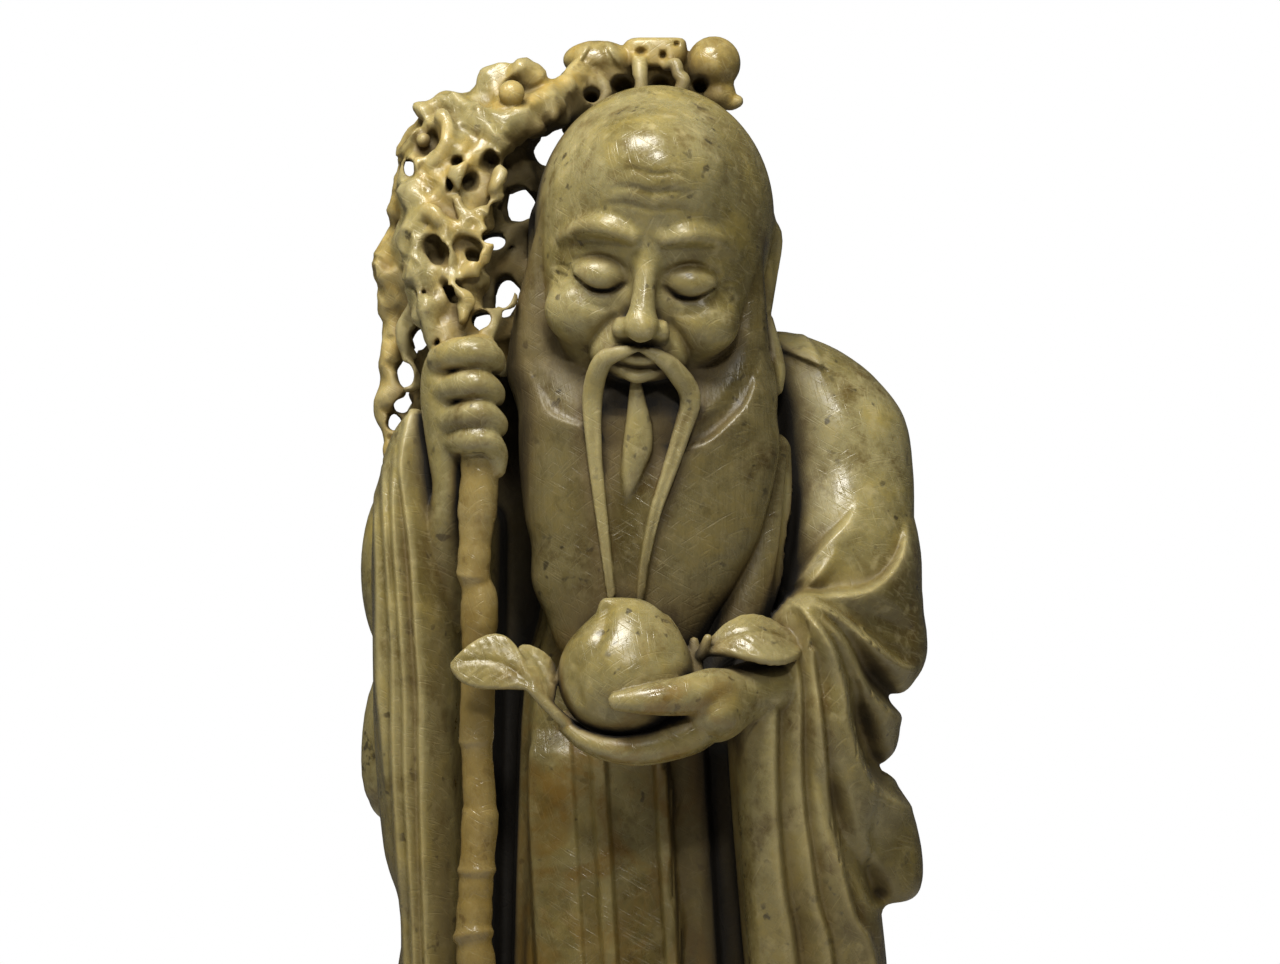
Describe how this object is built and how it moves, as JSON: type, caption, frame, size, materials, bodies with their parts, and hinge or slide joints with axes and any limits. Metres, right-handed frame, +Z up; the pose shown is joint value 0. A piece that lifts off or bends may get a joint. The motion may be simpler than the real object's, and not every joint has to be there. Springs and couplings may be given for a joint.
{
  "type": "shou lao figure",
  "caption": "Old man of long life carved in one block of soapstone, leaning on a knotted staff with a pierced root, holding a peach, on a low rough rock.",
  "frame": {"origin": "middle of the flat underside that the figure stands on", "axes": "+Z up, the figure faces -Y, its left hand with the peach is towards +X and its staff towards -X"},
  "size_m": [0.1417, 0.115, 0.3509],
  "materials": {
    "soapstone": "polished olive green soapstone with brown hollows"
  },
  "bodies": {
    "root": {"shou_lao_figure": "soapstone"}
  },
  "joints": []
}
